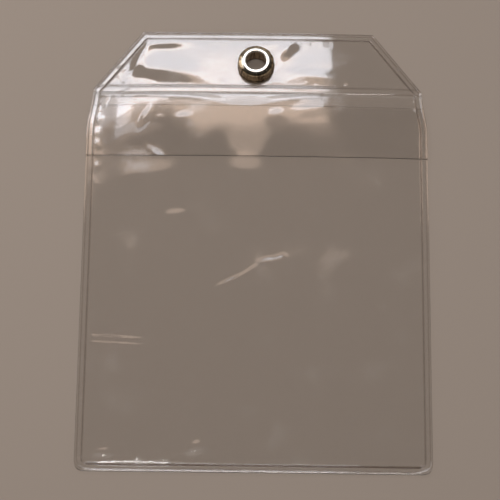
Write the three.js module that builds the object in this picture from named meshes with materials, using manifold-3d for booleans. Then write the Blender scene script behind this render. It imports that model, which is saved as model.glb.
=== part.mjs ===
import * as THREE from 'three'
import { mergeVertices } from 'three/addons/utils/BufferGeometryUtils.js'
import Module from 'manifold-3d'

// A clear welded sleeve for a document. A hood closes it, and a metal eyelet hangs it.
// It lies on its back: +Y runs up the sleeve to its header and +Z is its front.
// The origin is on the surface under it, at the middle of its length and width. Millimetres.

// Outline of the film
const sleeveWidth = 110
const sleeveLength = 153
const headerLength = 21
const cornerCut = 15.75
const shoulderDrawIn = 1.75
const drawInLength = 16
const cornerRadius = 3

// Film and welds
const filmThickness = 0.4
const weldDepth = 0.1
const weldRamp = 0.2
const seamRim = 0.4
const seamWidth = 2.5
const crossWeldWidth = 2.5
const layerGap = 0.02

// Pocket, hood and header
const mouthDrop = 5.9
const hoodLength = 24.2
const pocketSlack = 0.8
const hoodSlack = 0.25
const headerSlack = 0.25
const slackRun = 12

// Eyelet and its washer
const eyeletOffset = -0.6
const eyeletInset = 12
const eyeletHoleRadius = 3.2
const eyeletBaseRadius = 6.05
const eyeletSkirtRadius = 5.85
const eyeletHeight = 3.3
const eyeletShoulder = 1.2
const eyeletCrestRounding = 0.35
const eyeletWall = 0.35
const curlRadius = 0.5
const washerRadius = 6
const washerThickness = 0.3
const washerClearance = 0.05
const filmHoleClearance = 0.15
const clampMargin = 1
const liftRun = 60

// Fineness of the meshes
const coarseStep = 10
const fineStep = 3.5
const roundSegments = 32
const arcSegments = 3

const topY = sleeveLength / 2
const bottomY = -sleeveLength / 2
const crossY = topY - headerLength
const mouthY = crossY - mouthDrop
const hoodY = crossY - hoodLength
const eyeletY = topY - eyeletInset
const crossHalf = crossWeldWidth / 2
const clampHalf = Math.max(eyeletBaseRadius, washerRadius) + clampMargin
const barrelRadius = eyeletHoleRadius + eyeletWall

// The film is lifted at the eyelet by the height of the washer and of the barrel's curled end
const eyeletLift = curlRadius + washerThickness + 2 * layerGap

const wasm = await Module()
wasm.setup()

const { lerp, clamp, smoothstep } = THREE.MathUtils

// Half the sleeve's width at y: cut corners on the header, sides drawn in by the cross weld
// that ease out below it, and round bottom corners
function halfWidth(y) {
  const shoulder = sleeveWidth / 2 - shoulderDrawIn
  if (y > crossY) return shoulder - cornerCut * (y - crossY) / headerLength
  const side = shoulder + shoulderDrawIn * smoothstep(crossY - y, 0, drawInLength)
  const toCentre = cornerRadius - (y - bottomY)
  if (toCentre <= 0) return side
  return side - cornerRadius + Math.sqrt(cornerRadius ** 2 - toCentre ** 2)
}

// How much further apart, along a row, the lines beside a cut corner lie
function edgeStretch(y) {
  return y > crossY ? Math.hypot(headerLength, cornerCut) / headerLength : 1
}

// Lines of the side and end seams, as distances in from the film's edge
const seamLines = [0, seamRim, seamRim + weldRamp, seamWidth - weldRamp, seamWidth]
const edgeLines = [...seamLines, seamWidth + 0.2 * slackRun, seamWidth + 0.45 * slackRun]

// The points of one row across the sleeve, from left to right
function rowPoints(y) {
  const half = halfWidth(y)
  const points = [eyeletOffset]
  for (const side of [-1, 1]) {
    const edge = edgeLines.map(inset => side * (half - inset * edgeStretch(y)))
    const clampSide = eyeletOffset + side * clampHalf
    const between = [1 / 3, 2 / 3].map(share => lerp(clampSide, edge.at(-1), share))
    points.push(clampSide, ...between, ...edge)
  }
  return points.sort((a, b) => a - b)
}

// Rows at each of the lines, with even rows between them no further apart than the step
function fillRows(lines, step) {
  const rows = [lines[0]]
  for (let i = 1; i < lines.length; i++) {
    const count = Math.ceil((lines[i] - lines[i - 1]) / step)
    for (let k = 1; k <= count; k++) rows.push(lerp(lines[i - 1], lines[i], k / count))
  }
  return rows
}

const bodyRows = fillRows([...edgeLines.map(inset => bottomY + inset), hoodY], coarseStep)
const hoodRows = fillRows([hoodY, mouthY], fineStep)
const headerRows = fillRows([
  mouthY,
  crossY - crossHalf,
  crossY - crossHalf + weldRamp,
  crossY,
  crossY + crossHalf - weldRamp,
  crossY + crossHalf,
  eyeletY - clampHalf,
  eyeletY + clampHalf,
  ...seamLines.map(inset => topY - inset).reverse(),
], fineStep)

function sideInset(x, y) {
  return (halfWidth(y) - Math.abs(x)) / edgeStretch(y)
}

function edgeInset(x, y) {
  return Math.min(sideInset(x, y), y - bottomY, topY - y)
}

// 1 on the ground of a weld between two lines, 0 outside them, with a ramp inside each line
function pressed(distance, from, to) {
  const depth = Math.min(distance - from, to - distance) / weldRamp
  return clamp(depth, 0, 1)
}

function filmAt(x, y, crossWelded) {
  const seam = pressed(edgeInset(x, y), seamRim, seamWidth)
  const cross = crossWelded ? pressed(y, crossY - crossHalf, crossY + crossHalf) : 0
  return filmThickness - weldDepth * Math.max(seam, cross)
}

// The film arches from the eyelet down to its side edges and eases down along its length
function liftAt(x, y) {
  const arch = sleeveWidth / 2 - shoulderDrawIn - Math.abs(eyeletOffset) - clampHalf
  const across = 1 - clamp((Math.abs(x - eyeletOffset) - clampHalf) / arch, 0, 1) ** 2
  const along = 1 - smoothstep(Math.abs(y - eyeletY), clampHalf, clampHalf + liftRun)
  return eyeletLift * across * along
}

// 1 where the eyelet clamps the sheets flat, easing to 0 beside it
function clampedAt(x, y) {
  const away = Math.max(Math.abs(x - eyeletOffset), Math.abs(y - eyeletY))
  return 1 - smoothstep(away, clampHalf, clampHalf + slackRun)
}

// Undersides and upper sides of the three sheets
const backUnder = (x, y) => liftAt(x, y)
const backOver = (x, y) => backUnder(x, y) + filmAt(x, y, true)

function pocketUnder(x, y) {
  const toSeam = Math.min(sideInset(x, y), y - bottomY) - seamWidth
  return liftAt(x, y) + filmAt(x, y, false) + layerGap + pocketSlack * smoothstep(toSeam, 0, slackRun)
}

const pocketOver = (x, y) => pocketUnder(x, y) + filmAt(x, y, false)

function hoodUnder(x, y) {
  const climb = smoothstep(crossY - crossHalf - y, 0, mouthDrop - crossHalf)
  const bed = lerp(backOver(x, y), pocketOver(x, y), climb)
  const toWeld = Math.min(edgeInset(x, y) - seamWidth, Math.abs(y - crossY) - crossHalf)
  const slack = y > crossY ? headerSlack * (1 - clampedAt(x, y)) : hoodSlack
  return bed + layerGap + slack * smoothstep(toWeld, 0, slackRun)
}

const hoodOver = (x, y) => hoodUnder(x, y) + filmAt(x, y, true)

// A sheet is a box with a net of cells on its two sides, laid on the rows and pulled to the
// heights of its underside and upper side. Both sides split their cells along the same
// diagonal, so that two sheets with the same rows nest.
function sheetGeometry(rows, under, over) {
  const columnCells = rowPoints(bottomY).length - 1
  const rowCells = rows.length - 1
  const box = new THREE.BoxGeometry(1, 1, 1, columnCells, rowCells, 1)
  const position = box.getAttribute('position')
  for (let i = 0; i < position.count; i++) {
    const y = rows[Math.round((position.getY(i) + 0.5) * rowCells)]
    const x = rowPoints(y)[Math.round((position.getX(i) + 0.5) * columnCells)]
    const height = position.getZ(i) > 0 ? over : under
    position.setXYZ(i, x, y, height(x, y))
  }
  const underside = box.groups.at(-1)
  const index = box.getIndex()
  for (let i = underside.start; i < underside.start + underside.count; i += 6) {
    const [a, b, c, d] = [index.getX(i), index.getX(i + 1), index.getX(i + 4), index.getX(i + 5)]
    const cell = [a, b, c, a, c, d]
    cell.forEach((vertex, k) => index.setX(i + k, vertex))
  }
  return box
}

function closedGeometry(geometry) {
  geometry.deleteAttribute('normal')
  geometry.deleteAttribute('uv')
  return mergeVertices(geometry)
}

function toSolid(geometry) {
  const closed = closedGeometry(geometry)
  return new wasm.Manifold(new wasm.Mesh({
    numProp: 3,
    vertProperties: closed.getAttribute('position').array,
    triVerts: new Uint32Array(closed.getIndex().array),
  }))
}

function toGeometry(solid) {
  const mesh = solid.getMesh()
  const geometry = new THREE.BufferGeometry()
  geometry.setAttribute('position', new THREE.BufferAttribute(mesh.vertProperties, 3))
  geometry.setIndex(new THREE.BufferAttribute(mesh.triVerts, 1))
  geometry.computeVertexNormals()
  return geometry
}

// The hole for the eyelet's barrel, through a sheet of the header
function withEyeletHole(sheet) {
  const depth = 4 * (eyeletLift + filmThickness)
  const radius = barrelRadius + filmHoleClearance
  const punch = new THREE.CylinderGeometry(radius, radius, depth, roundSegments)
  punch.rotateX(Math.PI / 2)
  punch.translate(eyeletOffset, eyeletY, eyeletLift)
  return toGeometry(toSolid(sheet).subtract(toSolid(punch)))
}

// A turned piece on the eyelet's axis, from a section whose x is the radius and y the height
function turned(section) {
  const points = section.getPoints(arcSegments)
  const lathe = new THREE.LatheGeometry([...points, points[0]], roundSegments)
  lathe.rotateX(Math.PI / 2)
  const closed = closedGeometry(lathe)
  closed.computeVertexNormals()
  return closed
}

// The eyelet is one drawn shell: a steep skirt that stands on the film, a round shoulder, a flat
// crest, and a barrel through the sheets with its end curled out under the washer
function eyeletGeometry() {
  const base = hoodOver(eyeletOffset, eyeletY) + layerGap
  const crest = base + eyeletHeight
  const rounding = eyeletCrestRounding
  const crestOuter = eyeletSkirtRadius - eyeletShoulder
  const skirtTop = crest - eyeletShoulder
  const taper = Math.atan2(eyeletBaseRadius - eyeletSkirtRadius, eyeletHeight - eyeletShoulder)
  const skirtWall = eyeletWall / Math.cos(taper)
  const curlCentre = eyeletHoleRadius + curlRadius
  const section = new THREE.Path()
  section.moveTo(eyeletBaseRadius - skirtWall, base)
  section.lineTo(eyeletBaseRadius, base)
  section.absarc(crestOuter, skirtTop, eyeletShoulder, taper, Math.PI / 2, false)
  section.absarc(eyeletHoleRadius + rounding, crest - rounding, rounding, Math.PI / 2, Math.PI, false)
  section.absarc(curlCentre, curlRadius, curlRadius, Math.PI, 2 * Math.PI, false)
  section.absarc(curlCentre, curlRadius, curlRadius - eyeletWall, 2 * Math.PI, Math.PI, true)
  section.lineTo(barrelRadius, crest - eyeletWall)
  section.absarc(crestOuter, skirtTop, eyeletShoulder - eyeletWall, Math.PI / 2, taper, true)
  return turned(section)
}

function washerGeometry() {
  const inner = barrelRadius + washerClearance
  const under = curlRadius + layerGap
  const over = under + washerThickness
  const edge = washerThickness / 2
  const section = new THREE.Path()
  section.moveTo(inner, over)
  section.lineTo(inner, under)
  section.lineTo(washerRadius - edge, under)
  section.absarc(washerRadius - edge, under + edge, edge, -Math.PI / 2, Math.PI / 2, false)
  return turned(section)
}

const clearFilm = new THREE.MeshStandardMaterial({
  color: 0xe9e7e2,
  roughness: 0.12,
  metalness: 0,
  transparent: true,
  opacity: 0.3,
})

const nickelPlate = new THREE.MeshStandardMaterial({
  color: 0xb8ae9c,
  roughness: 0.28,
  metalness: 1,
})

const sleeve = new THREE.Group()

function addPiece(name, geometry, material, x = 0, y = 0) {
  const mesh = new THREE.Mesh(geometry, material)
  mesh.name = name
  mesh.position.set(x, y, 0)
  sleeve.add(mesh)
}

const backSheet = sheetGeometry(
  [...bodyRows, ...hoodRows.slice(1), ...headerRows.slice(1)], backUnder, backOver)
const pocketSheet = sheetGeometry([...bodyRows, ...hoodRows.slice(1)], pocketUnder, pocketOver)
const hoodSheet = sheetGeometry([...hoodRows, ...headerRows.slice(1)], hoodUnder, hoodOver)

addPiece('back_sheet', withEyeletHole(backSheet), clearFilm)
addPiece('pocket_sheet', toGeometry(toSolid(pocketSheet)), clearFilm)
addPiece('hood_sheet', withEyeletHole(hoodSheet), clearFilm)
addPiece('eyelet', eyeletGeometry(), nickelPlate, eyeletOffset, eyeletY)
addPiece('eyelet_washer', washerGeometry(), nickelPlate, eyeletOffset, eyeletY)

export default sleeve
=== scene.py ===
import math

import bmesh
import bpy
from mathutils import Matrix, Vector, noise


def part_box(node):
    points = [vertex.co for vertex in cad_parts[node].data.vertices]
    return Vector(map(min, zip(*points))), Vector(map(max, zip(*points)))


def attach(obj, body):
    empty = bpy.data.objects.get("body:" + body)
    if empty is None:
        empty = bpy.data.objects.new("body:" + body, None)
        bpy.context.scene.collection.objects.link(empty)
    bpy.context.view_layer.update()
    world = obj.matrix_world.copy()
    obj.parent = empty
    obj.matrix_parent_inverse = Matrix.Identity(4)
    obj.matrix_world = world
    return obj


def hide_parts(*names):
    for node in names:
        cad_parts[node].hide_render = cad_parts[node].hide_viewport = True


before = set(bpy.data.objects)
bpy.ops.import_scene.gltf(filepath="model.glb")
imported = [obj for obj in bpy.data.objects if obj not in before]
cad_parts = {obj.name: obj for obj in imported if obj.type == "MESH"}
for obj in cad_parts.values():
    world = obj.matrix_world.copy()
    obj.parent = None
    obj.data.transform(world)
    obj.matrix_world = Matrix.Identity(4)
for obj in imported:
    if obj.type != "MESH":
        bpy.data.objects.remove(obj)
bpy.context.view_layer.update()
print("stage: frame loaded")

# Lengths below are in millimetres, and each finished mesh is scaled to metres.
mm = 0.001


def boxMm(node):
    low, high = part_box(node)
    return low / mm, high / mm


def mix(a, b, share):
    return a + (b - a) * share


def ease(value, start, end):
    share = min(max((value - start) / (end - start), 0), 1)
    return share * share * (3 - 2 * share)


def hump(distance, reach):
    return math.exp(-((distance / reach) ** 2))


# Sizes of the whole sleeve that the frame gives
sheetLow, sheetHigh = boxMm("back_sheet")
eyeletLow, eyeletHigh = boxMm("eyelet")
washerLow, washerHigh = boxMm("eyelet_washer")
sleeveHalf = sheetHigh.x
bottomY = sheetLow.y
topY = sheetHigh.y
mouthY = boxMm("pocket_sheet")[1].y
hoodY = boxMm("hood_sheet")[0].y
eyeletX = (eyeletLow.x + eyeletHigh.x) / 2
eyeletY = (eyeletLow.y + eyeletHigh.y) / 2

outline = {
    "headerLength": 21,
    "cornerCut": 15.75,
    "drawIn": 1.75,        # of each side, at the ends of the cross weld
    "drawInLength": 16,
    "cornerRadius": 3,
}
crossY = topY - outline["headerLength"]

film = {
    "thickness": 0.4,
    "gap": 0.02,           # between sheets that touch
    "seamWidth": 2.5,
    "crossWidth": 2.5,
    "rimAt": 0.3,          # bead on the cut edge
    "rimHeight": 0.03,
    "rimReach": 0.2,
    "beadAt": 2.35,        # bead squeezed out inside the weld
    "beadHeight": 0.07,
    "beadReach": 0.26,
    "sideRelief": 0.2,     # share of the beads' height that the plain side seams have
    "pressed": 0.1,        # depth of the welds' ground
    "clampHalf": 7.05,     # flat square of film under the eyelet
    "lift": washerHigh.z + 0.02,    # of the film at the eyelet, over its washer
    "liftRun": 60,
    "pocketSlack": 0.2,
    "hoodSlack": 0.03,
    "headerSlack": 0.04,
    "slackRun": 12,
    "waveHeight": 0.05,    # slow waves that the lying film keeps
    "waveLength": 13,
    "puckerHeight": 0.03,  # short wrinkles drawn up beside the welds
    "puckerLength": 2.4,
    "ridgeHeight": 0.28,   # ragged ridge at the left of the bottom seam
    "ridgeX": -37,
    "ridgeLength": 12,
    "ridgeReach": 0.55,
    "ridgeGrain": 1.6,
}


# Cut corners on the header, sides drawn in by the cross weld, and round bottom corners
def halfWidth(y):
    shoulder = sleeveHalf - outline["drawIn"]
    if y > crossY:
        return shoulder - outline["cornerCut"] * (y - crossY) / outline["headerLength"]
    side = shoulder + outline["drawIn"] * ease(crossY - y, 0, outline["drawInLength"])
    toCentre = outline["cornerRadius"] - (y - bottomY)
    if toCentre <= 0:
        return side
    across = math.sqrt(max(outline["cornerRadius"] ** 2 - toCentre ** 2, 0))
    return side - outline["cornerRadius"] + across


# How much further apart, along a row, the lines beside a cut corner lie
def edgeStretch(y):
    slanted = math.hypot(outline["headerLength"], outline["cornerCut"]) / outline["headerLength"]
    return mix(1, slanted, ease(y, crossY - 1, crossY + 1))


def sideInset(x, y):
    return (halfWidth(y) - abs(x)) / edgeStretch(y)


# How far in from the nearest edge of the film a point lies
def edgeInset(x, y):
    toEnd = min(y - bottomY, topY - y)
    toSide = sideInset(x, y)
    if y < bottomY + 8 and toSide < 8:      # the seam turns a round corner
        radius = outline["cornerRadius"] + 1
        dx = max(radius - toSide, 0)
        dy = max(radius - toEnd, 0)
        if dx > 0 and dy > 0:
            return radius - math.hypot(dx, dy)
    return min(toSide, toEnd)


# Places of a net's lines, through zones that are each given by their end and their step
def stations(start, zones):
    points = [start]
    for end, step in zones:
        first = points[-1]
        count = max(1, round((end - first) / step))
        points += [mix(first, end, k / count) for k in range(1, count + 1)]
    return points


insetStations = stations(0, [(3, 0.15), (6, 0.4)])
# Rows lie close at the welds, the ends of the sheets and the sharper creases
rowStations = stations(bottomY, [
    (bottomY + 3, 0.15), (bottomY + 12, 0.4), (-37, 1.5), (-29, 0.25), (-18, 1.4), (0, 0.45),
    (8, 1.2), (14, 0.6), (22, 1.2), (hoodY - 1, 0.6), (hoodY, 0.25), (hoodY + 1, 0.25),
    (mouthY - 1, 0.7), (mouthY, 0.25), (crossY - 2.5, 0.4), (crossY + 2.5, 0.125),
    (topY - 3, 0.55), (topY, 0.15),
])


# Places of the columns in the row at y, from left to right
def columnPoints(y, innerCells):
    half = halfWidth(y)
    stretch = edgeStretch(y)
    inner = half - insetStations[-1] * stretch
    points = [inner * k / innerCells for k in range(innerCells)]
    points += [half - inset * stretch for inset in reversed(insetStations)]
    return [-x for x in reversed(points[1:])] + points


# The side seams are plain, and the welds beside the shoulders and the bottom stand out fully
def seamRelief(y):
    return max(film["sideRelief"], ease(y, crossY - 14, crossY), ease(bottomY + 6 - y, 0, 3))


# A side or end seam: a bead on the cut edge, a sunk ground, and a bead squeezed out inside
def weldSwell(inset, width, relief):
    rim = film["rimHeight"] * hump(inset - film["rimAt"], film["rimReach"])
    bead = film["beadHeight"] * hump(inset - film["beadAt"], film["beadReach"])
    ground = ease(inset, 0.5, 0.7) * (1 - ease(inset, width - 0.5, width - 0.2))
    return relief * (rim + bead - film["pressed"] * ground)


# The cross weld: a sunk ground between two beads
def crossSwell(y):
    half = film["crossWidth"] / 2
    away = abs(y - crossY)
    bead = film["beadHeight"] * hump(away - half, film["beadReach"])
    return bead - film["pressed"] * (1 - ease(away, half - 0.4, half - 0.1))


# Thickness of a front sheet
def filmAt(x, y, crossWelded):
    inset = edgeInset(x, y)
    swell = weldSwell(inset, film["seamWidth"], seamRelief(y))
    if y < bottomY + 5:
        grain = film["ridgeGrain"]
        ragged = 0.6 + noise.noise(Vector((x / grain, y / grain, 2)))
        along = hump(x - film["ridgeX"], film["ridgeLength"])
        swell += film["ridgeHeight"] * ragged * along * hump(inset - film["seamWidth"], film["ridgeReach"])
    if crossWelded:
        cross = crossSwell(y)
        swell = max(swell, cross) if max(swell, cross) > 0 else min(swell, cross)
    return film["thickness"] + swell


# The film arches from the eyelet down to its side edges and eases down along its length
def liftAt(x, y):
    arch = sleeveHalf - outline["drawIn"] - abs(eyeletX) - film["clampHalf"]
    across = 1 - min(max((abs(x - eyeletX) - film["clampHalf"]) / arch, 0), 1) ** 2
    along = 1 - ease(abs(y - eyeletY), film["clampHalf"], film["clampHalf"] + film["liftRun"])
    return film["lift"] * across * along


# 1 where the eyelet clamps the sheets flat, easing to 0 beside it
def clampedAt(x, y):
    away = max(abs(x - eyeletX), abs(y - eyeletY))
    return 1 - ease(away, film["clampHalf"], film["clampHalf"] + film["slackRun"])


# Dents and creases, each a long hump: centre, reach along and across, turn in degrees
# anticlockwise from +X, and height
headerDents = [
    (-37.5, 69.5, 7.0, 2.2, 70, 0.15),      # bend inside the left cut corner
    (-30, 62.8, 9.0, 3.0, -10, 0.15),
    (-29.5, 73.4, 6.5, 1.8, 6, 0.17),
    (8, 70.8, 5.5, 3.2, 36, 0.18),          # right of the eyelet
    (22, 60.6, 9.0, 1.8, -6, 0.05),
]
hoodDents = [
    (-36.5, 44.5, 3.4, 1.0, 62, 0.10),      # glints under the cross weld
    (-24, 45, 2.2, 1.2, 5, 0.05),
    (-31.5, 44.8, 1.4, 1.0, 0, 0.03),
    (5.8, 46, 2.4, 1.8, 10, 0.07),
    (-31, 30.6, 3.6, 0.8, -42, 0.10),       # curl at the hood's edge
    (-40, 35, 13.0, 8.0, 0, -0.12),
    (-4, 31, 6.0, 7.0, 0, 0.10),
    (19, 48.6, 6.0, 1.8, 12, 0.06),
]
pocketDents = [
    (-37, 24.5, 8.0, 4, 12, 0.1),
    (-3, 25, 6.5, 6.0, 0, 0.11),
    (-8.2, -12.6, 4.2, 0.6, 28, 0.07),      # crooked crease in the middle
    (-1.2, -8.4, 3.2, 0.65, 38, 0.06),
    (4.6, -5.4, 3.6, 1.0, 8, 0.08),
    (2.2, -6.8, 1.8, 0.5, -24, -0.03),
    (8.2, -4.4, 1.3, 1.0, 40, 0.06),
    (-26, 10.5, 4.0, 1.4, 10, 0.05),
    (-45, -32.3, 10, 0.75, -3, 0.052),      # double crease at the left edge
    (-45, -34.3, 10, 0.75, -3, 0.05),
    (-18, -68.3, 3.2, 1.9, 20, 0.2),        # dimples over the bottom seam
    (-46.2, -70.4, 3, 1.4, 8, 0.15),
]


def dented(x, y, dents):
    height = 0
    for atX, atY, along, across, turn, rise in dents:
        dx = x - atX
        dy = y - atY
        far = 3 * max(along, across)
        if abs(dx) > far or abs(dy) > far:
            continue
        angle = math.radians(turn)
        u = dx * math.cos(angle) + dy * math.sin(angle)
        v = dy * math.cos(angle) - dx * math.sin(angle)
        height += rise * math.exp(-((u / along) ** 2) - (v / across) ** 2)
    return height


def waved(x, y, seed):
    place = Vector((x / film["waveLength"], y / film["waveLength"], seed))
    return film["waveHeight"] * noise.noise(place)


# Short wrinkles beside a weld, drawn up more at the shoulders and at the ragged ridge
def puckered(x, y, toWeld, seed):
    if toWeld > 4:
        return 0
    toShoulder = math.hypot(abs(x) - halfWidth(crossY) + 2, y - crossY)
    toRidge = math.hypot((x - film["ridgeX"]) / 14, (y - bottomY) / 5)
    wave = noise.noise(Vector((x / film["puckerLength"], y / film["puckerLength"], seed)))
    drawn = 1 + 3 * hump(toShoulder, 7) + 5 * hump(toRidge, 1)
    return film["puckerHeight"] * drawn * wave * hump(toWeld - 1.2, 1)


# The whole header is bent as one by its dents
def bentAt(x, y):
    if y < crossY:
        return 0
    toWeld = min(edgeInset(x, y) - film["seamWidth"], y - crossY - film["crossWidth"] / 2)
    away = max(abs(x - eyeletX), abs(y - eyeletY))
    free = ease(toWeld, -1.5, 2.5) * ease(away, film["clampHalf"] - 1, film["clampHalf"] + 3)
    return free * (dented(x, y, headerDents) + waved(x, y, 3))


# Undersides and upper sides of the three sheets
def backUnder(x, y):
    return liftAt(x, y) + bentAt(x, y)


def backOver(x, y):
    inset = edgeInset(x, y)
    pressed = film["pressed"] * ease(inset, 0.3, 0.6) * (1 - ease(inset, 2, 2.4))
    return backUnder(x, y) + film["thickness"] - seamRelief(y) * pressed


def pocketUnder(x, y):
    toSeam = min(sideInset(x, y), y - bottomY) - film["seamWidth"]
    free = ease(toSeam, 0, 3)
    slack = film["pocketSlack"] * ease(toSeam, 0, film["slackRun"])
    shape = dented(x, y, pocketDents) + waved(x, y, 8)
    return backOver(x, y) + film["gap"] + slack + free * shape + puckered(x, y, toSeam, 5)


def pocketOver(x, y):
    return pocketUnder(x, y) + filmAt(x, y, False)


# Near the middle the hood climbs slowly onto the pocket's mouth, and beside it at once
def hoodUnder(x, y):
    half = film["crossWidth"] / 2
    reach = (crossY - half - mouthY) * mix(0.25, 1, hump(x + 4, 13))
    climb = ease(crossY - half - y, 0, reach)
    bed = mix(backOver(x, y), pocketOver(x, y), climb)
    toWeld = min(edgeInset(x, y) - film["seamWidth"], abs(y - crossY) - half)
    wrinkled = puckered(x, y, toWeld, 1)
    if y > crossY:
        slack = film["headerSlack"] * (1 - clampedAt(x, y))
        return bed + film["gap"] + slack * ease(toWeld, 0, film["slackRun"]) + wrinkled
    shape = dented(x, y, hoodDents) + waved(x, y, 1)
    slack = film["hoodSlack"] * ease(toWeld, 0, film["slackRun"])
    return bed + film["gap"] + slack + ease(toWeld, 0, 3) * shape + wrinkled


def hoodOver(x, y):
    return hoodUnder(x, y) + filmAt(x, y, True)


# Painted shade: dark lines painted into the film's colour along its welds and on its cut ends, where
# refraction and shadow darken the real film
paintedShadeLook = {
    "innerLine": 2.25,     # places of the lines, in from the film's edge
    "outerLine": 0.7,
    "crossLine": 1.05,     # place of the cross weld's lines, out from its middle
    "lineReach": 0.26,
    "outerReach": 0.2,
    "rimReach": 0.14,
    "endReach": 0.3,
    "outerShare": 0.6,
    "headerStrength": 0.6,
    "sideStrength": 0.35,
    "bottomStrength": 1,
    "crossStrength": 0.5,
    "endStrength": 0.22,
}


# How much painted shade the film gets at a point, from 0 to 1
def paintedWeldShade(x, y, sheet):
    look = paintedShadeLook
    inset = edgeInset(x, y)
    strength = look["headerStrength"] if y > crossY else look["sideStrength"]
    if y - bottomY < inset + 0.1:
        strength = look["bottomStrength"]
    inner = hump(inset - look["innerLine"], look["lineReach"])
    outer = look["outerShare"] * hump(inset - look["outerLine"], look["outerReach"])
    rim = look["outerShare"] * hump(inset, look["rimReach"])
    shade = strength * (inner + outer + rim)
    if sheet["freeEnd"] is not None:
        shade += look["endStrength"] * hump(y - sheet["freeEnd"], look["endReach"])
    if sheet["crossWelded"]:
        cross = hump(abs(y - crossY) - look["crossLine"], look["lineReach"])
        shade = max(shade, look["crossStrength"] * cross)
    return min(shade, 1)


sharpAngle = math.radians(50)     # edges that turn by more are shaded sharp


def finishMesh(bm, name):
    bmesh.ops.scale(bm, vec=(mm, mm, mm), verts=bm.verts)
    mesh = bpy.data.meshes.new(name)
    for face in bm.faces:
        face.smooth = True
    for edge in bm.edges:
        edge.smooth = edge.calc_face_angle(0) < sharpAngle
    bm.to_mesh(mesh)
    bm.free()
    piece = bpy.data.objects.new(name, mesh)
    bpy.context.scene.collection.objects.link(piece)
    return piece


eyeletShape = {
    "holeRadius": 3.2,
    "skirtRadius": 5.85,   # where the skirt turns into the shoulder
    "shoulder": 1.2,
    "shoulderSlope": 18.5,  # degrees, of the cone between the shoulder and the flat crest
    "crestRadius": 4.25,
    "crestRounding": 0.35,
    "baseRadius": 6.05,
    "footRounding": 0.22,
    "wall": 0.35,
    "filmClearance": 0.15,
    "curlRadius": washerLow.z - 0.02,
    "steps": 128,
}
eyeletBase = hoodOver(eyeletX, eyeletY) + film["gap"]
eyeletCrest = eyeletHigh.z


# A net of cells is pulled to the sheet's outline, and punched for the eyelet's barrel. It is then
# extruded to a slab, whose two sides move to the heights of its underside and upper side.
def makeSheet(sheet):
    rows = [y for y in rowStations if sheet["low"] - 1e-6 <= y <= sheet["high"] + 1e-6]
    columns = [columnPoints(y, sheet["cells"]) for y in rows]
    across = len(columns[0])
    bm = bmesh.new()
    # per-vertex share of the painted shade along the welds and cut ends
    paintedShadeLayer = bm.verts.layers.float.new("paintedWeldShade")
    bmesh.ops.create_grid(bm, x_segments=across - 1, y_segments=len(rows) - 1, size=0.5)
    for vert in bm.verts:
        row = round((vert.co.y + 0.5) * (len(rows) - 1))
        vert.co.x = columns[row][round((vert.co.x + 0.5) * (across - 1))]
        vert.co.y = rows[row]
    centre = Vector((eyeletX, eyeletY, 0))
    radius = eyeletShape["holeRadius"] + eyeletShape["wall"] + eyeletShape["filmClearance"]
    inside = set(vert for vert in bm.verts if (vert.co - centre).length < radius)
    punched = [face for face in bm.faces if all(vert in inside for vert in face.verts)]
    bmesh.ops.delete(bm, geom=punched, context="FACES")
    for vert in bm.verts:
        away = vert.co - centre
        if away.length < radius:
            vert.co = centre + away * (radius / away.length)
    slab = bmesh.ops.extrude_face_region(bm, geom=bm.faces[:])
    raised = set(part for part in slab["geom"] if isinstance(part, bmesh.types.BMVert))
    for vert in bm.verts:
        x, y = vert.co.xy
        height = sheet["over"] if vert in raised else sheet["under"]
        vert.co.z = height(x, y)
        vert[paintedShadeLayer] = paintedWeldShade(x, y, sheet)
    bmesh.ops.recalc_face_normals(bm, faces=bm.faces[:])
    return finishMesh(bm, sheet["name"])


def newMaterial(name):
    material = bpy.data.materials.new(name)
    material.use_nodes = True
    nodes = material.node_tree.nodes
    nodes.clear()
    return material, nodes, material.node_tree.links


# Faint wear that both materials share: a mask of worn patches and a slightly uneven normal
def makeWearGroup():
    group = bpy.data.node_groups.new("surfaceWear", "ShaderNodeTree")
    for name in ("Patch Scale", "Grain Scale", "Depth"):
        group.interface.new_socket(name=name, in_out="INPUT", socket_type="NodeSocketFloat")
    group.interface.new_socket(name="Mask", in_out="OUTPUT", socket_type="NodeSocketFloat")
    group.interface.new_socket(name="Normal", in_out="OUTPUT", socket_type="NodeSocketVector")
    nodes = group.nodes
    links = group.links
    entry = nodes.new("NodeGroupInput")
    leave = nodes.new("NodeGroupOutput")
    place = nodes.new("ShaderNodeTexCoord")
    patches = nodes.new("ShaderNodeTexNoise")
    patches.inputs["Detail"].default_value = 4
    patches.inputs["Roughness"].default_value = 0.6
    links.new(place.outputs["Object"], patches.inputs["Vector"])
    links.new(entry.outputs["Patch Scale"], patches.inputs["Scale"])
    cut = nodes.new("ShaderNodeMapRange")
    cut.interpolation_type = "SMOOTHSTEP"
    cut.inputs["From Min"].default_value = 0.5
    cut.inputs["From Max"].default_value = 0.75
    links.new(patches.outputs["Fac"], cut.inputs["Value"])
    links.new(cut.outputs["Result"], leave.inputs["Mask"])
    grain = nodes.new("ShaderNodeTexNoise")
    grain.inputs["Detail"].default_value = 2
    links.new(place.outputs["Object"], grain.inputs["Vector"])
    links.new(entry.outputs["Grain Scale"], grain.inputs["Scale"])
    bump = nodes.new("ShaderNodeBump")
    bump.inputs["Strength"].default_value = 1
    links.new(entry.outputs["Depth"], bump.inputs["Distance"])
    links.new(grain.outputs["Fac"], bump.inputs["Height"])
    links.new(bump.outputs["Normal"], leave.inputs["Normal"])
    return group


wearGroup = makeWearGroup()


def addWear(nodes, patchScale, grainScale, depth):
    wear = nodes.new("ShaderNodeGroup")
    wear.node_tree = wearGroup
    wear.inputs["Patch Scale"].default_value = patchScale
    wear.inputs["Grain Scale"].default_value = grainScale
    wear.inputs["Depth"].default_value = depth
    return wear


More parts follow.
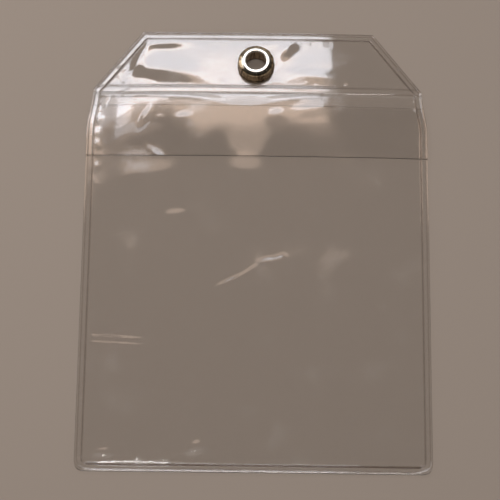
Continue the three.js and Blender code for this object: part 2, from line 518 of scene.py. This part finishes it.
def addMix(nodes, links, share, first, second):
    blend = nodes.new("ShaderNodeMix")
    blend.data_type = "RGBA"
    links.new(share, blend.inputs["Factor"])
    blend.inputs["A"].default_value = first
    blend.inputs["B"].default_value = second
    return blend


# A step of arithmetic on two values, each a socket or a number
def addMath(nodes, links, operation, first, second):
    step = nodes.new("ShaderNodeMath")
    step.operation = operation
    for socket, value in zip(step.inputs, (first, second)):
        if isinstance(value, bpy.types.NodeSocket):
            links.new(value, socket)
        else:
            socket.default_value = value
    return step.outputs["Value"]


def addRange(nodes, links, value, fromMin, fromMax, toMin, toMax):
    spread = nodes.new("ShaderNodeMapRange")
    spread.interpolation_type = "SMOOTHSTEP"
    spread.inputs["From Min"].default_value = fromMin
    spread.inputs["From Max"].default_value = fromMax
    spread.inputs["To Min"].default_value = toMin
    spread.inputs["To Max"].default_value = toMax
    links.new(value, spread.inputs["Value"])
    return spread


filmLook = {
    "color": (0.986, 0.981, 0.977, 1),
    # colour that the painted shade of the welds and cut ends darkens the film towards
    "paintedShadeColor": (0.5, 0.45, 0.42, 1),
    "roughness": 0.03,
    "wornRoughness": 0.09,
    "ior": 1.53,
    "shadow": (0.965, 0.963, 0.96, 1),    # lamplight that each surface lets through
}


def makeFilmMaterial():
    material, nodes, links = newMaterial("clearFilm")
    output = nodes.new("ShaderNodeOutputMaterial")
    shader = nodes.new("ShaderNodeBsdfPrincipled")
    shader.inputs["IOR"].default_value = filmLook["ior"]
    shader.inputs["Transmission Weight"].default_value = 1
    # The film's colour is darkened by painted shade along the welds and on the cut ends
    shade = nodes.new("ShaderNodeAttribute")
    shade.attribute_name = "paintedWeldShade"
    filmTintAndShade = addMix(nodes, links, shade.outputs["Fac"], filmLook["color"], filmLook["paintedShadeColor"])
    links.new(filmTintAndShade.outputs["Result"], shader.inputs["Base Color"])
    wear = addWear(nodes, 60, 220, 0.000002)
    worn = addRange(nodes, links, wear.outputs["Mask"], 0, 1,
                    filmLook["roughness"], filmLook["wornRoughness"])
    links.new(worn.outputs["Result"], shader.inputs["Roughness"])
    links.new(wear.outputs["Normal"], shader.inputs["Normal"])
    clear = nodes.new("ShaderNodeBsdfTransparent")
    clear.inputs["Color"].default_value = filmLook["shadow"]
    path = nodes.new("ShaderNodeLightPath")       # lamplight crosses the film unbent
    straight = addMath(nodes, links, "MAXIMUM",
                       path.outputs["Is Shadow Ray"], path.outputs["Is Diffuse Ray"])
    swap = nodes.new("ShaderNodeMixShader")
    links.new(straight, swap.inputs["Fac"])
    links.new(shader.outputs["BSDF"], swap.inputs[1])
    links.new(clear.outputs["BSDF"], swap.inputs[2])
    links.new(swap.outputs["Shader"], output.inputs["Surface"])
    return material


clearFilm = makeFilmMaterial()

sheets = [
    {
        "name": "backFilm",
        "node": "back_sheet",
        "low": bottomY,
        "high": topY,
        "freeEnd": None,
        "cells": 40,           # across each half, inside the seams
        "crossWelded": False,
        "under": backUnder,
        "over": backOver,
    },
    {
        "name": "pocketFilm",
        "node": "pocket_sheet",
        "low": bottomY,
        "high": mouthY,
        "freeEnd": mouthY,
        "cells": 76,
        "crossWelded": False,
        "under": pocketUnder,
        "over": pocketOver,
    },
    {
        "name": "hoodFilm",
        "node": "hood_sheet",
        "low": hoodY,
        "high": topY,
        "freeEnd": hoodY,
        "cells": 76,
        "crossWelded": True,
        "under": hoodUnder,
        "over": hoodOver,
    },
]
for sheet in sheets:
    piece = makeSheet(sheet)
    piece.data.materials.append(clearFilm)
    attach(piece, "root")
    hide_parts(sheet["node"])
    print("stage:", sheet["name"], len(piece.data.polygons), "faces")

metalLook = {
    "crestColor": (0.76, 0.72, 0.65, 1),
    # the skirt is painted darker and browner than the crest: painted shade for the dark reflections down
    # its sides
    "skirtShadeColor": (0.5, 0.39, 0.26, 1),
    "streakColor": (0.16, 0.11, 0.07, 1),
    "roughness": 0.14,
    "wornRoughness": 0.3,
    "streaks": 26,         # around the skirt
    "streakHeight": 120,   # how fast they change up the skirt
    "crestFrom": 0.25,     # depths below the crest between which the colour turns from the skirt's painted shade to the crest's own colour
    "crestTo": 0.03,
}


def makeMetalMaterial():
    material, nodes, links = newMaterial("nickelPlate")
    output = nodes.new("ShaderNodeOutputMaterial")
    shader = nodes.new("ShaderNodeBsdfPrincipled")
    shader.inputs["Metallic"].default_value = 1
    place = nodes.new("ShaderNodeTexCoord")
    split = nodes.new("ShaderNodeSeparateXYZ")
    links.new(place.outputs["Object"], split.inputs["Vector"])
    east = addMath(nodes, links, "SUBTRACT", split.outputs["X"], eyeletX * mm)
    north = addMath(nodes, links, "SUBTRACT", split.outputs["Y"], eyeletY * mm)
    angle = addMath(nodes, links, "ARCTAN2", east, north)
    around = addMath(nodes, links, "MULTIPLY", angle, metalLook["streaks"] / (2 * math.pi))
    up = addMath(nodes, links, "MULTIPLY", split.outputs["Z"], metalLook["streakHeight"])
    wrap = nodes.new("ShaderNodeCombineXYZ")
    links.new(around, wrap.inputs["X"])
    links.new(up, wrap.inputs["Y"])
    streaks = nodes.new("ShaderNodeTexNoise")     # drawn marks that run down the skirt
    streaks.inputs["Scale"].default_value = 1
    streaks.inputs["Detail"].default_value = 5
    streaks.inputs["Roughness"].default_value = 0.65
    links.new(wrap.outputs["Vector"], streaks.inputs["Vector"])
    dark = addRange(nodes, links, streaks.outputs["Fac"], 0.42, 0.62, 0, 1)
    # the drawn marks are laid on the skirt's painted shade
    skirtShadeAndStreaks = addMix(nodes, links, dark.outputs["Result"],
                   metalLook["skirtShadeColor"], metalLook["streakColor"])
    # the crest keeps the plate's colour, and everything lower gets the skirt's painted shade
    crest = addRange(nodes, links, split.outputs["Z"], (eyeletCrest - metalLook["crestFrom"]) * mm,
                     (eyeletCrest - metalLook["crestTo"]) * mm, 0, 1)
    color = addMix(nodes, links, crest.outputs["Result"],
                   metalLook["skirtShadeColor"], metalLook["crestColor"])
    links.new(skirtShadeAndStreaks.outputs["Result"], color.inputs["A"])
    links.new(color.outputs["Result"], shader.inputs["Base Color"])
    wear = addWear(nodes, 700, 2500, 0.000004)
    worn = addRange(nodes, links, wear.outputs["Mask"], 0, 1,
                    metalLook["roughness"], metalLook["wornRoughness"])
    links.new(worn.outputs["Result"], shader.inputs["Roughness"])
    links.new(wear.outputs["Normal"], shader.inputs["Normal"])
    links.new(shader.outputs["BSDF"], output.inputs["Surface"])
    return material


nickelPlate = makeMetalMaterial()


def arcPoints(x, z, radius, start, end, count):
    angles = [math.radians(mix(start, end, k / count)) for k in range(count + 1)]
    return [(x + radius * math.cos(angle), z + radius * math.sin(angle)) for angle in angles]


# A turned piece on the eyelet's axis, spun from a closed section of (radius, height) points
def makeTurned(name, section):
    bm = bmesh.new()
    points = [bm.verts.new((eyeletX + radius, eyeletY, height)) for radius, height in section]
    edges = [bm.edges.new((points[k - 1], points[k])) for k in range(len(points))]
    bmesh.ops.spin(bm, geom=points + edges, cent=(eyeletX, eyeletY, 0), axis=(0, 0, 1),
                   angle=2 * math.pi, steps=eyeletShape["steps"], use_merge=True)
    bmesh.ops.recalc_face_normals(bm, faces=bm.faces[:])
    return finishMesh(bm, name)


def eyeletSection():
    shape = eyeletShape
    rounding = shape["crestRounding"]
    foot = shape["footRounding"]
    shoulder = shape["shoulder"]
    crestOuter = shape["skirtRadius"] - shoulder
    skirtTop = eyeletCrest - shoulder
    taper = math.degrees(math.atan2(shape["baseRadius"] - shape["skirtRadius"], skirtTop - eyeletBase))
    skirtWall = shape["wall"] / math.cos(math.radians(taper))
    barrel = shape["holeRadius"] + shape["wall"]
    curlCentre = shape["holeRadius"] + shape["curlRadius"]
    curl = shape["curlRadius"]
    lip = shape["wall"] / 2
    section = [(shape["baseRadius"] - skirtWall, eyeletBase)]
    section += arcPoints(shape["baseRadius"] - foot, eyeletBase + foot, foot, -90, taper, 6)
    section += arcPoints(crestOuter, skirtTop, shoulder, taper, 45, 8)
    section += arcPoints(shape["crestRadius"], eyeletCrest - rounding, rounding,
                         90 - shape["shoulderSlope"], 90, 4)
    section += arcPoints(shape["holeRadius"] + rounding, eyeletCrest - rounding, rounding, 90, 180, 8)
    section += arcPoints(curlCentre, curl, curl, 180, 350, 16)
    section += arcPoints(curlCentre + curl - lip, curl, lip, 20, 160, 4)
    section += arcPoints(curlCentre, curl, curl - shape["wall"], 350, 180, 10)
    section += [(barrel, eyeletCrest - shape["wall"])]
    section += arcPoints(crestOuter, skirtTop, shoulder - shape["wall"], 90, taper, 8)
    return section


washerShape = {
    "clearance": 0.05,
    "boreRounding": 0.08,
}


def washerSection():
    inner = eyeletShape["holeRadius"] + eyeletShape["wall"] + washerShape["clearance"]
    outer = (washerHigh.x - washerLow.x) / 2
    edge = (washerHigh.z - washerLow.z) / 2
    bore = washerShape["boreRounding"]
    section = arcPoints(inner + bore, washerHigh.z - bore, bore, 90, 180, 3)
    section += arcPoints(inner + bore, washerLow.z + bore, bore, 180, 270, 3)
    section += arcPoints(outer - edge, washerLow.z + edge, edge, -90, 90, 10)
    return section


for name, node, section in (("eyeletShell", "eyelet", eyeletSection()),
                            ("eyeletRing", "eyelet_washer", washerSection())):
    piece = makeTurned(name, section)
    piece.data.materials.append(nickelPlate)
    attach(piece, "root")
    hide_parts(node)
    print("stage:", name, len(piece.data.polygons), "faces")

stageLook = {
    "floorSize": 4,
    "floorDrop": 0.0001,
    "floorColor": (0.50, 0.42, 0.362, 1),
}


def makeFloor():
    bm = bmesh.new()
    bmesh.ops.create_grid(bm, x_segments=1, y_segments=1, size=stageLook["floorSize"] / 2)
    mesh = bpy.data.meshes.new("floor")
    bm.to_mesh(mesh)
    bm.free()
    floor = bpy.data.objects.new("floor", mesh)
    bpy.context.scene.collection.objects.link(floor)
    floor.location.z = -stageLook["floorDrop"]
    material, nodes, links = newMaterial("floor")
    output = nodes.new("ShaderNodeOutputMaterial")
    shader = nodes.new("ShaderNodeBsdfPrincipled")
    shader.inputs["Base Color"].default_value = stageLook["floorColor"]
    shader.inputs["Roughness"].default_value = 0.9
    shader.inputs["Specular IOR Level"].default_value = 0
    links.new(shader.outputs["BSDF"], output.inputs["Surface"])
    mesh.materials.append(material)


makeFloor()
print("stage: floor")


# A dim room with a warm glow low in the north, which the film mirrors below the window. Heights
# are the upward part of a direction, and the other places are its eastward part.
worldLook = {
    "roomLow": (0.5, 0.46, 0.42, 1),
    "roomHigh": (0.05, 0.047, 0.043, 1),
    "roomFade": (0.15, 0.75),
    "glowColor": (1.6, 1.2, 0.94, 1),
    "glowTop": 0.9041,
    "glowTopLeft": 0.8942,      # where the dim part at its left ends
    "glowTopStep": (-0.06, -0.03),
    "glowTopFade": 0.006,
    "glowBottom": (0.8709, 0.8829),
    "glowLeft": (-0.14, -0.09),
    "glowRight": (0.043, 0.055),
    "glowNorth": (0, 0.2),      # northward part
}


def makeWorld():
    look = worldLook
    world = bpy.data.worlds.new("studio")
    bpy.context.scene.world = world
    world.use_nodes = True
    nodes = world.node_tree.nodes
    links = world.node_tree.links
    nodes.clear()
    output = nodes.new("ShaderNodeOutputWorld")
    background = nodes.new("ShaderNodeBackground")
    place = nodes.new("ShaderNodeTexCoord")
    split = nodes.new("ShaderNodeSeparateXYZ")
    links.new(place.outputs["Generated"], split.inputs["Vector"])
    east, north, up = split.outputs
    height = addRange(nodes, links, up, *look["roomFade"], 0, 1)
    room = addMix(nodes, links, height.outputs["Result"], look["roomLow"], look["roomHigh"])
    top = addRange(nodes, links, east, *look["glowTopStep"], look["glowTopLeft"], look["glowTop"])
    below = addMath(nodes, links, "SUBTRACT", top.outputs["Result"], up)
    masks = [
        addRange(nodes, links, below, 0, look["glowTopFade"], 0, 1),
        addRange(nodes, links, up, *look["glowBottom"], 0, 1),
        addRange(nodes, links, east, *look["glowRight"], 1, 0),
        addRange(nodes, links, east, *look["glowLeft"], 0, 1),
        addRange(nodes, links, north, *look["glowNorth"], 0, 1),
    ]
    whole = masks[0].outputs["Result"]
    for mask in masks[1:]:
        whole = addMath(nodes, links, "MULTIPLY", whole, mask.outputs["Result"])
    light = addMix(nodes, links, whole, look["roomHigh"], look["glowColor"])
    links.new(room.outputs["Result"], light.inputs["A"])
    links.new(light.outputs["Result"], background.inputs["Color"])
    links.new(background.outputs["Background"], output.inputs["Surface"])


makeWorld()

# Soft lamps that look at the sleeve's middle, placed by angle from the zenith and from the north
lamps = [
    {
        "name": "windowBox",
        "fromZenith": 43.2,
        "azimuth": -5.8,
        "distance": 1.2,
        "width": 0.3,
        "height": 0.58,
        "radiance": 3.55,
        "color": (0.89, 0.915, 1),
        "mirrored": True,
    },
    {
        "name": "leftSoftbox",
        "fromZenith": 55,
        "azimuth": -58,
        "distance": 0.62,
        "width": 0.4,
        "height": 0.4,
        "radiance": 1.8,
        "color": (1, 0.97, 0.94),
        "mirrored": True,
    },
    {
        "name": "overheadBox",
        "fromZenith": 2,
        "azimuth": 0,
        "distance": 1.1,
        "width": 0.45,
        "height": 0.12,
        "radiance": 16,
        "color": (1, 0.97, 0.94),
        "mirrored": False,      # lights the floor and the bore alone
    },
]


def direction(fromZenith, azimuth):
    zenith = math.radians(fromZenith)
    turn = math.radians(azimuth)
    return Vector((math.sin(zenith) * math.sin(turn), math.sin(zenith) * math.cos(turn), math.cos(zenith)))


def makeLamp(lamp):
    light = bpy.data.lights.new(lamp["name"], "AREA")
    light.shape = "RECTANGLE"
    light.size = lamp["width"]
    light.size_y = lamp["height"]
    light.energy = lamp["radiance"] * math.pi * lamp["width"] * lamp["height"]
    light.color = lamp["color"]
    holder = bpy.data.objects.new(lamp["name"], light)
    back = direction(lamp["fromZenith"], lamp["azimuth"])
    holder.location = back * lamp["distance"]
    holder.rotation_euler = back.to_track_quat("Z", "Y").to_euler()
    holder.visible_camera = False
    holder.visible_glossy = lamp["mirrored"]
    bpy.context.scene.collection.objects.link(holder)


for lamp in lamps:
    makeLamp(lamp)
print("stage: world and lamps")

view = {
    "target": (-1.82, -1.17, 0),
    "distance": 918.9,
    "fromVertical": 25,    # degrees, as the turn and the roll
    "turn": -0.04,
    "roll": 0.74,
    "lens": 208.8,
    "sensor": 36,
}


def makeCamera():
    tilt = math.radians(view["fromVertical"])
    turn = math.radians(view["turn"])
    roll = math.radians(view["roll"])
    back = Vector((math.sin(turn) * math.sin(tilt), -math.cos(turn) * math.sin(tilt), math.cos(tilt)))
    levelRight = Vector((math.cos(turn), math.sin(turn), 0))
    levelUp = back.cross(levelRight)
    right = math.cos(roll) * levelRight + math.sin(roll) * levelUp
    up = back.cross(right)
    camera = bpy.data.cameras.new("camera")
    camera.lens = view["lens"]
    camera.sensor_width = view["sensor"]
    camera.clip_start = 0.01
    holder = bpy.data.objects.new("camera", camera)
    turned = Matrix((right, up, back)).transposed().to_4x4()
    place = (Vector(view["target"]) + back * view["distance"]) * mm
    holder.matrix_world = Matrix.Translation(place) @ turned
    bpy.context.scene.collection.objects.link(holder)
    bpy.context.scene.camera = holder


makeCamera()
print("stage: camera")
bpy.context.scene.view_settings.view_transform = "Standard"
